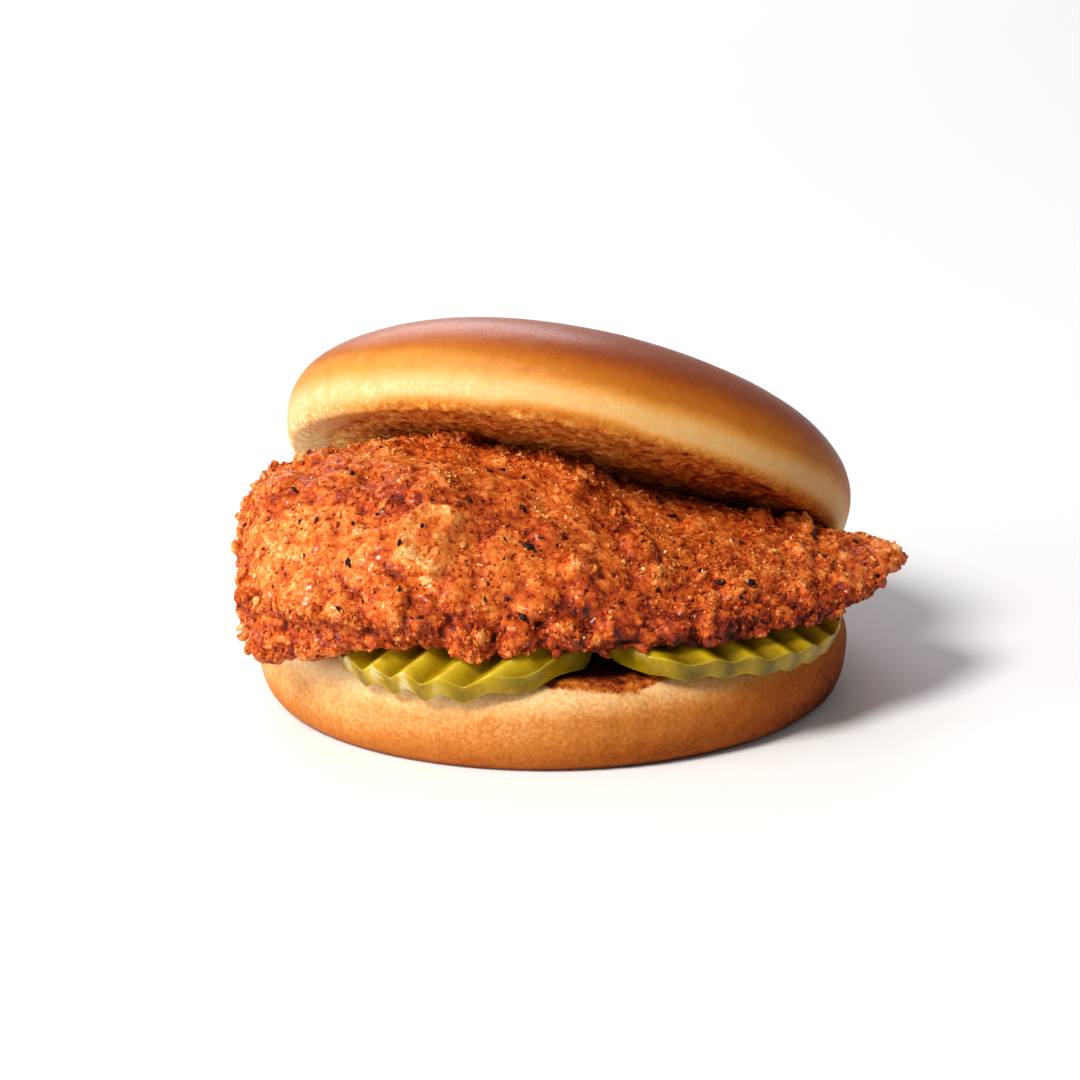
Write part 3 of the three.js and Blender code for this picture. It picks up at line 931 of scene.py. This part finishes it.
# Raised ears of crust: where, radius and height, the way that its sharp edge faces, and how pale
ears = [
    {"pixel": (437, 541), "radius": 6.6, "height": 2.0, "faces": (-0.9, 0.4), "gold": 0.42},
    {"pixel": (412, 608), "radius": 3.4, "height": 0.8, "faces": (-0.1, -1.0), "gold": 0.1},
]
earShape = {
    "wander": [(0.9, 5, 185), (0.4, 2, 187)],
    "edge": 0.4,
    "fade": (-4.0, -0.5),  # from the side away from the sharp edge
    "rim": 0.55,
    "rimWidth": 0.9,
    "goldInset": 1.6,
    "goldWidth": 2.2,
    "goldEdge": (0.35, 0.65),  # away from the sharp edge, and what is added at it
    "goldWithin": 0.4,
    "smoother": 0.75,
}
cragShape = {"depth": 1.3, "power": 0.8, "onPuffs": (0.75, 0.25), "crease": (1.05, 0.22), "creaseDepth": 0.22}
# The shelf along the lower left, where one layer of crust ends above the next
ledge = {
    "from": (243, 600),
    "to": (372, 622),
    "height": 1.1,
    "wander": [(1.0, 7, 181), (1.1, 2.6, 183)],
    "ends": ((-0.15, 0.05), (1.15, 0.95)),
    "lip": ((-0.5, 0.5), (5.5, 1.0)),
    "groove": ((0.5, -0.6), (-4, -1)),
    "grooveShare": 0.6,
}
# Where the crust is craggy: near the lower front edge, at the tail and in drifts
craggy = {
    "base": 0.48,
    "wander": [(0.35, 15, 131)],
    "front": (0, -14),
    "lowEdge": (0.62, 0.12),
    "lowEdgeShare": 0.6,
    "tail": (38, 62, 0.1),
    "gold": -2.0,
    "least": 0.12,
    "most": 1.1,
}
# Layers of crust: their warp, then size, seed and sharpness. The pairs give a layer's depth, and how
# much it changes the tone, on even crust and what craggy crust adds; the tone change is painted light
# and shade, paler on the lumps' tops and darker between them
puffs = {"warp": (5.0, 1.5, 141), "size": 5.6, "seed": 145, "middle": 0.5, "depth": (0.28, 0.42)}
crustLayers = {
    "nodules": {"warp": (2.4, 0.9, 151), "lump": (2.9, 155, 1.7), "depth": (0, 1), "tone": (0, -0.22)},
    "beads": {"warp": (1.8, 0.7, 175), "lump": (2.1, 177, 1.4), "depth": (0.21, 0.51), "tone": (-0.14, 0)},
    "fine": {"warp": (1.2, 0.45, 161), "lump": (1.45, 165, 1.2), "depth": (0.273, 0.147), "tone": (-0.30, 0)},
}
crust = {"wander": [(0.25, 3.1, 171)], "sunk": 0.8, "lumpMiddle": 0.4}
# Darker at the lower edge; darker at the front right, along the top under the crown and in the creases round
# crags and between puffs, with paler crag and puff tops, all painted shade and light; golden on the smooth
# places, some of which are painted light
browning = {
    "base": 0.59,
    "lowEdge": 0.08,
    "toRight": (-35, 20),
    "paintedShadeFrontRight": (0.8, 0.25, 0.26),
    "wander": [(0.08, 9, 191), (0.07, 4, 193)],
    "top": (0.66, 0.95, 0.10),
    "gold": -0.85,
    "crag": 0.6,
    "cragPaintedShading": 0.16,
    "puff": (-0.16, 0.45),
}


def ramped(pair, share):
    # the first of two values, and the second as far as the share goes
    return pair[0] + pair[1] * share


def distanceTo(grid, index):
    # the way from one point of a grid to each other one, and its length
    offset = grid - grid.reshape(-1, 3)[index]
    return offset, np.linalg.norm(offset, axis=-1)


def filletRelief():
    # the smooth fillet with its broad swells and round lumps, standing out as from an ellipsoid
    s = filletShape
    smooth, level = filletSmooth()
    outward = (smooth - s["reliefCentre"]) / s["reliefReach"] ** 2
    outward /= np.linalg.norm(outward, axis=-1, keepdims=True)
    size, deep, seed = s["swell"]
    relief = deep * swell(smooth, size, seed)
    size, deep, seed = s["lump"]
    relief = relief + deep * lumps(smooth, size, seed)
    return smooth + outward * relief[..., None], level


def addCrags(grid, normals, wavy, puff, detail):
    # a knob at each crag, with a crease round it; returned with how brown they make the crust, with the knob
    # tops paler as painted light and the creases darker as painted shade
    s = cragShape
    brown = 0
    for pixel, (_, _, radius, height, tone) in zip(pinned(grid, normals, [c[:2] for c in crags]), crags):
        apart = distanceTo(wavy, pixel)[1] / radius
        knob = np.maximum(0, 1 - apart**2)
        crease = bell(apart, *s["crease"])
        detail = detail + s["depth"] * height * knob ** s["power"] * ramped(s["onPuffs"], puff)
        detail = detail - s["creaseDepth"] * crease
        # painted light on the knob and painted shade in the crease round it
        brown = brown + (tone - browning["cragPaintedShading"]) * knob + browning["cragPaintedShading"] * crease
    return detail, brown


def addEars(grid, normals, detail, gold, rugged):
    # a raised disc of uneven outline with a rim, which fades away from its sharp edge
    s = earShape
    for pixel, ear in zip(pinned(grid, normals, [e["pixel"] for e in ears]), ears):
        offset, apart = distanceTo(grid, pixel)
        apart = apart + layered(grid, s["wander"])
        ahead = offset[..., 0] * ear["faces"][0] + offset[..., 2] * ear["faces"][1]
        toEdge = smoothstep(*s["fade"], ahead)
        rim = bell(apart, ear["radius"] - s["rimWidth"], s["rimWidth"])
        raised = smoothstep(ear["radius"] + s["edge"], ear["radius"] - s["edge"], apart)
        detail = detail + ear["height"] * (raised + s["rim"] * rim) * toEdge
        edgeGold = bell(apart, ear["radius"] - s["goldInset"], s["goldWidth"]) * ramped(s["goldEdge"], toEdge)
        within = s["goldWithin"] * bell(apart, 0, ear["radius"])
        gold = np.maximum(gold, ear["gold"] * np.maximum(edgeGold, within))
        rugged = rugged * (1 - s["smoother"] * raised * toEdge)
    return detail, gold, rugged


def shelfRelief(grid, normals):
    # a lip above a wandering line between two pinned places, and a groove below it
    ends = grid.reshape(-1, 3)[pinned(grid, normals, [ledge["from"], ledge["to"]])]
    run = (grid[..., 0] - ends[0, 0]) / (ends[1, 0] - ends[0, 0])
    above = grid[..., 2] - ends[0, 2] - (ends[1, 2] - ends[0, 2]) * run - layered(grid, ledge["wander"])
    lip = between(*ledge["lip"], above) - ledge["grooveShare"] * between(*ledge["groove"], above)
    return ledge["height"] * lip * between(*ledge["ends"], run)


def makeFillet():
    # crust in layers on the broad relief: puffs with creases between them, nodules, beads and fine
    # crumbs, then the crags, ears and shelf; kept clear of the crown and of what lies under it
    grid, level = filletRelief()
    normals = gridNormals(grid)
    front = smoothstep(*craggy["front"], grid[..., 1] - filletShape["middleY"])
    lowEdge = smoothstep(*craggy["lowEdge"], level) * front
    # golden places, and at the upper middle and right paler places painted as light where the crown's shadow
    # falls
    gold = 0
    for pixel, patch in zip(pinned(grid, normals, [p[:2] for p in goldPatches]), goldPatches):
        gold = np.maximum(gold, patch[3] * bell(distanceTo(grid, pixel)[1], 0, patch[2]))
    rugged = craggy["base"] + layered(grid, craggy["wander"]) + craggy["lowEdgeShare"] * lowEdge
    rugged = rugged + stepped(grid[..., 0], craggy["tail"]) + craggy["gold"] * gold
    rugged = np.clip(rugged, craggy["least"], craggy["most"])

    wavy = warped(grid, *puffs["warp"])
    puff = 1 - nearestSeat(wavy, puffs["size"], puffs["seed"])
    detail = (puff - puffs["middle"]) * ramped(puffs["depth"], rugged) + layered(grid, crust["wander"])
    heights = {}
    for name, layer in crustLayers.items():
        heights[name] = lumps(warped(grid, *layer["warp"]), *layer["lump"])
        detail = detail + heights[name] * ramped(layer["depth"], rugged)
    detail, brown = addCrags(grid, normals, wavy, puff, detail - crust["sunk"])
    shelf = shelfRelief(grid, normals) * front
    detail, gold, rugged = addEars(grid, normals, detail + shelf, gold, rugged)

    grid = grid + normals * detail[..., None]
    x, y, z = np.moveaxis(grid, -1, 0)
    z = np.maximum(np.minimum(z, crownFaceHeight(x, y) - bun["gap"]), supportHeight(x, y) + bun["gap"])
    grid = np.stack([x, y, z], -1)

    s = browning
    # painted shade: darker along the top under the crown, at the front right and in the creases between
    # puffs, paler on the puffs' tops
    tone = s["base"] + s["lowEdge"] * lowEdge + layered(grid, s["wander"]) + stepped(level, s["top"])
    tone = tone + stepped(level, s["paintedShadeFrontRight"]) * front * smoothstep(*s["toRight"], x)
    tone = tone + s["gold"] * gold + s["crag"] * brown + s["puff"][0] * (puff - s["puff"][1])
    # lump tops paler and the ground between them darker: painted light and shade
    for name, layer in crustLayers.items():
        tone = tone + (heights[name] - crust["lumpMiddle"]) * ramped(layer["tone"], rugged)
    return grid, gridNormals(grid), tone, rugged


filletGrid, filletNormals, filletTone, filletRugged = makeFillet()
fillet = closedSurface("breaded_fillet", filletGrid, {"tone": filletTone, "rugged": filletRugged})
print("fillet made")

breadingTones = [
    (0.00, shade(238, 178, 114)),
    (0.18, shade(218, 134, 62)),
    (0.40, shade(196, 92, 24)),
    (0.60, shade(162, 56, 8)),
    (0.80, shade(110, 29, 4)),
    (1.00, shade(44, 8, 2)),
]


def breadingMaterial(name):
    g = Graph(name)
    noise = g.noise(1.4, 3.0, 0.65)
    fine = g.noise(0.5, 2.0, 0.6)
    patches = g.noise(4.2, 2.0, 0.5)
    small = g.grains(1.0, 1.1)
    large = g.grains(2.7, 2.5)
    rugged = g.attribute("rugged")
    tone = g.attribute("tone") + (noise - 0.5) * 0.55 + (fine - 0.5) * 0.36 + (patches - 0.5) * 0.2
    # painted shade: darker towards the edges of each grain, in the crevices between them
    tone = tone + (small - 0.33) * 0.75 + (large - 0.33) * (0.35 + rugged * 0.4)
    pits = g.step(g.noise(0.85, 1.0, 0.5), 0.64, 0.68)
    color = g.ramp(g.clamp(tone + pits * 0.34), breadingTones)
    wet = g.step(g.noise(1.1, 2.0, 0.6), 0.50, 0.58)
    height = (1 - small * small) * 0.45 + (1 - large * large) * 0.75 + fine * 0.15
    return g.finish({
        "Base Color": color,
        "Roughness": 0.65,
        "Specular IOR Level": 0.15,
        "Subsurface Weight": 0.06,
        "Subsurface Radius": (1.0, 0.35, 0.12),
        "Subsurface Scale": 0.0015,
        "Coat Weight": wet * (0.6 - rugged * 0.4),
        "Coat Roughness": 0.2,
        "Normal": g.bump(height * (0.5 + rugged * 0.5), 0.85, 1.0),
    })


breading = breadingMaterial("fried_breading")
fillet.data.materials.append(breading)

# Loose things on the breading, each kind one mesh

def chosen(random, weights, count):
    # places drawn on the fillet, as likely as their weights, with no place drawn twice
    chance = weights.ravel() / weights.sum()
    return random.choice(len(chance), count, replace=False, p=chance)


def facetArea():
    # how much surface each point of the fillet's grid stands for
    along = np.gradient(filletGrid, axis=0)
    across = (np.roll(filletGrid, -1, 1) - np.roll(filletGrid, 1, 1)) / 2
    return np.linalg.norm(np.cross(along, across), axis=-1)


strewn = {
    "pinnedLift": 0.15,  # how far a pinned thing's middle stands out, as a share of its half height
    "drift": 1.6,  # how much more crumbs gather where the crust is craggy
    "everywhere": 0.05,  # what there is of small crumbs on even crust too
    "upwards": (-0.35, -0.05),  # how far a place must face up to hold anything loose
    "frontwards": 0.6,  # and how much facing the front counts as facing up
}


def scatterOnFillet(name, settings, weights, finish, pixels=()):
    # the pinned places first, then those drawn; each copy stands out along its tilted normal
    random = np.random.default_rng(settings["seed"])
    picked = chosen(random, weights, settings["count"])
    if len(pixels):
        picked = np.concatenate([pinned(filletGrid, filletNormals, [p[:2] for p in pixels]), picked])
    count = len(picked)
    normals = filletNormals.reshape(-1, 3)[picked]
    tilt = normals + settings["tilt"] * random.normal(size=(count, 3))
    tilt /= np.linalg.norm(tilt, axis=-1, keepdims=True)
    growth = settings["large"] / settings["small"]
    size = settings["small"] * growth ** (random.random(count) ** settings["skew"])
    size[: len(pixels)] = [p[2] for p in pixels]
    sizes = size[:, None] / 2 * random.uniform(settings["least"], settings["most"], (count, 3))
    lift = np.full((count, 1), settings["lift"])
    lift[: len(pixels)] = strewn["pinnedLift"]
    places = filletGrid.reshape(-1, 3)[picked] + normals * (sizes[:, 2:] * lift)
    tones = filletTone.ravel()[picked] + settings["tone"] + settings["toneSpread"] * random.normal(size=count)
    turns = turnsTo(tilt, random)
    piece = scattered(name, pebble(*settings["ball"]), places, turns, sizes, settings["rough"], tones, random)
    piece.data.materials.append(finish)
    return piece


# nothing loose is left under the fillet
facing = filletNormals[..., 2] + strewn["frontwards"] * np.maximum(0, -filletNormals[..., 1])
openArea = facetArea() * smoothstep(*strewn["upwards"], facing)
drifts = filletRugged ** strewn["drift"]
# Crumbs that stand out along the fillet's outline: pixel and size in millimetres
edgeCrumbs = [
    (233, 514, 2.1), (232, 548, 2.2), (239, 595, 2.3), (243, 626, 2.3), (249, 648, 2.3), (241, 530, 1.5),
    (244, 574, 1.8), (246, 598, 1.6), (243, 637, 1.7), (288, 461, 1.3), (254, 482, 1.4), (247, 500, 1.7),
    (239, 518, 1.5), (260, 655, 1.8), (273, 464, 1.6), (262, 474, 1.5), (300, 458, 2.4), (625, 478, 2.4),
    (502, 662, 2.4), (478, 662, 2.2), (602, 655, 2.4), (708, 640, 2.2), (690, 645, 2.0), (790, 522, 2.4),
    (808, 528, 2.2), (897, 548, 1.5), (900, 560, 1.4), (560, 655, 2.2),
]
ledgeRow = {"seed": 6, "count": 46, "stray": (3.0, 3.5), "sizes": (0.9, 1.9)}


def crumbsAlong(row, start, end):
    # pixels strewn along a line, each with a size in millimetres
    random = np.random.default_rng(row["seed"])
    share = np.linspace(0, 1, row["count"])[:, None]
    line = np.array(start) + share * (np.array(end) - np.array(start))
    places = line + random.normal(size=line.shape) * row["stray"]
    return np.column_stack([places, random.uniform(*row["sizes"], row["count"])]).tolist()


edgeCrumbs += crumbsAlong(ledgeRow, ledge["from"], ledge["to"])
noduleSettings = {
    "seed": 7, "count": 380, "small": 0.9, "large": 2.0, "skew": 2.0,
    "least": (0.8, 0.7, 0.5), "most": (1.3, 1.1, 0.95),
    "tilt": 0.35, "lift": -0.35, "ball": (7, 10), "rough": 0.7, "tone": -0.06, "toneSpread": 0.08,
}
grainSettings = {
    "seed": 8, "count": 3600, "small": 0.5, "large": 1.2, "skew": 1.2,
    "least": (0.8, 0.7, 0.5), "most": (1.4, 1.1, 1.0),
    "tilt": 0.6, "lift": -0.2, "ball": (4, 6), "rough": 0.7, "tone": -0.10, "toneSpread": 0.08,
}
flakeSettings = {
    "seed": 9, "count": 200, "small": 1.0, "large": 2.2, "skew": 1.6,
    "least": (0.9, 0.6, 0.2), "most": (1.4, 1.0, 0.36),
    "tilt": 0.6, "lift": 0.2, "ball": (6, 9), "rough": 0.7, "tone": -0.08, "toneSpread": 0.10,
}
strewnArea = openArea * (strewn["everywhere"] + drifts)
nodules = scatterOnFillet("breading_nodules", noduleSettings, openArea * drifts, breading, edgeCrumbs)
grains = scatterOnFillet("breading_crumbs", grainSettings, strewnArea, breading)
flakes = scatterOnFillet("breading_flakes", flakeSettings, openArea * drifts, breading)

# Pepper flecks that stand out in the photograph: pixel and size in millimetres
pepperPixels = [
    (382, 447, 1.6), (352, 474, 1.8), (292, 489, 1.5), (300, 522, 1.5), (316, 520, 1.0), (352, 522, 1.3),
    (377, 514, 1.2), (423, 527, 0.9), (429, 463, 0.9), (400, 544, 1.9), (349, 564, 2.3), (341, 610, 1.9),
    (364, 604, 1.0), (471, 500, 1.9), (489, 470, 1.7), (502, 469, 1.6), (523, 476, 1.7), (522, 507, 1.6),
    (532, 491, 1.1), (528, 547, 2.6), (543, 539, 1.4), (556, 544, 1.0), (566, 538, 1.5), (489, 582, 1.2),
    (486, 601, 1.0), (524, 616, 2.2), (544, 629, 1.3), (507, 598, 1.2), (420, 619, 1.4), (399, 589, 1.6),
    (347, 587, 1.0), (284, 575, 1.0), (263, 548, 0.9), (304, 555, 0.9), (245, 526, 1.3), (601, 525, 1.0),
    (571, 606, 1.1), (590, 634, 1.5), (616, 576, 1.2), (660, 501, 2.2), (672, 516, 2.2), (657, 588, 1.3),
    (676, 600, 1.5), (692, 600, 1.3), (719, 583, 2.3), (748, 583, 2.4), (741, 599, 1.4), (742, 543, 1.3),
    (777, 547, 1.2), (815, 533, 2.2), (826, 555, 1.4), (855, 541, 1.2), (877, 576, 1.6), (760, 623, 1.4),
    (711, 542, 1.0), (700, 570, 1.1), (564, 587, 1.0), (639, 567, 1.0), (642, 541, 1.1), (822, 586, 1.0),
    (865, 600, 1.2), (804, 618, 1.1), (504, 469, 1.4), (425, 585, 0.9), (333, 547, 0.8), (450, 478, 0.9),
    (610, 608, 1.3), (636, 641, 1.2), (686, 567, 0.9), (779, 595, 1.0),
]
pepperSettings = {
    "seed": 10, "count": 420, "small": 0.3, "large": 0.75, "skew": 1.4,
    "least": (0.7, 0.4, 0.28), "most": (1.0, 0.7, 0.45),
    "tilt": 0.35, "lift": 0.5, "ball": (5, 7), "rough": 1.0, "tone": 0.0, "toneSpread": 0.3,
}
# pale spice grains, which also stand in as painted glints on the breading
spiceSettings = {
    "seed": 11, "count": 240, "small": 0.3, "large": 0.65, "skew": 1.4,
    "least": (0.7, 0.6, 0.4), "most": (1.2, 0.9, 0.7),
    "tilt": 0.5, "lift": 0.4, "ball": (4, 6), "rough": 0.9, "tone": 0.0, "toneSpread": 0.3,
}


def speckMaterial(name, dark, pale, roughness, glow):
    g = Graph(name)
    color = g.mix(g.clamp(g.noise(0.4, 2.0, 0.6) * 1.6 - 0.3), dark, pale)
    return g.finish({
        "Base Color": color,
        "Roughness": roughness,
        "Specular IOR Level": 0.2,
        "Subsurface Weight": glow,
        "Subsurface Scale": 0.001,
        "Normal": g.bump(g.noise(0.3, 2.0, 0.6), 0.1, 0.5),
    })


pepper = speckMaterial("black_pepper", shade(3, 2, 2), shade(44, 13, 6), 0.5, 0.0)
# the pale grains are spice and painted glints
spice = speckMaterial("pale_spice_and_glint", shade(222, 164, 98), shade(248, 222, 176), 0.4, 0.2)
flecks = scatterOnFillet("pepper_flecks", pepperSettings, openArea, pepper, pepperPixels)
spices = scatterOnFillet("spice_grains_and_glints", spiceSettings, openArea, spice)
print("crumbs and spices made")

# What each piece stands for

standsFor = {
    "heel": ([heel], "bun_heel"),
    "crown": ([crown], "bun_crown"),
    "pickle_left": ([picklePieces["pickle_left"]], "pickle"),
    "pickle_right": ([picklePieces["pickle_right"]], "pickle"),
    "chicken_fillet": ([fillet, nodules, grains, flakes, flecks, spices], "breading"),
}
for node, (pieces, slot) in standsFor.items():
    for piece in pieces:
        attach(piece, "root")
        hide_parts(node)

# Floor, lights and camera

studio = {
    "floor": 6.0,
    "floorColor": (0.86, 0.86, 0.86, 1.0),
    "world": (1.0, 1.0, 1.0, 1.0),
    "worldStrength": 0.28,
    "aim": (0.0, 0.0, 0.025),
}
lamps = {
    "key": {"place": (-1.25, -1.39, 1.81), "width": 0.8, "power": 78.0, "color": (1.0, 0.98, 0.95)},
    "side": {"place": (-1.85, -0.75, 0.42), "width": 1.0, "power": 26.0, "color": (1.0, 0.98, 0.95)},
    "back": {"place": (-0.3, 1.5, 0.85), "width": 1.1, "power": 10.0, "color": (0.98, 0.91, 1.0)},
}


def makeStudio():
    half = studio["floor"] / 2
    mesh = bpy.data.meshes.new("floor")
    corners = [(-half, -half, 0), (half, -half, 0), (half, half, 0), (-half, half, 0)]
    mesh.from_pydata(corners, [], [(0, 1, 2, 3)])
    floor = bpy.data.objects.new("floor", mesh)
    bpy.context.scene.collection.objects.link(floor)
    g = Graph("floor_paint")
    floor.data.materials.append(g.finish({"Base Color": studio["floorColor"], "Roughness": 0.9}))

    world = bpy.data.worlds.new("studio")
    world.use_nodes = True
    background = world.node_tree.nodes["Background"]
    background.inputs["Color"].default_value = studio["world"]
    background.inputs["Strength"].default_value = studio["worldStrength"]
    bpy.context.scene.world = world

    for name, lamp in lamps.items():
        light = bpy.data.lights.new(name, "AREA")
        light.shape = "DISK"
        light.size = lamp["width"]
        light.energy = lamp["power"]
        light.color = lamp["color"]
        holder = bpy.data.objects.new(name, light)
        holder.location = lamp["place"]
        away = holder.location - type(holder.location)(studio["aim"])
        holder.rotation_euler = away.to_track_quat("Z", "Y").to_euler()
        bpy.context.scene.collection.objects.link(holder)


def makeCamera():
    lens = bpy.data.cameras.new("camera")
    lens.lens = view["lens"]
    lens.sensor_width = view["sensor"]
    camera = bpy.data.objects.new("camera", lens)
    camera.location = (view["target"] + view["distance"] * toCamera) * millimetre
    camera.rotation_euler = (math.pi / 2 - view["elevation"], 0, 0)
    bpy.context.scene.collection.objects.link(camera)
    bpy.context.scene.camera = camera
    bpy.context.scene.view_settings.view_transform = "Standard"


makeStudio()
makeCamera()
print("studio made")
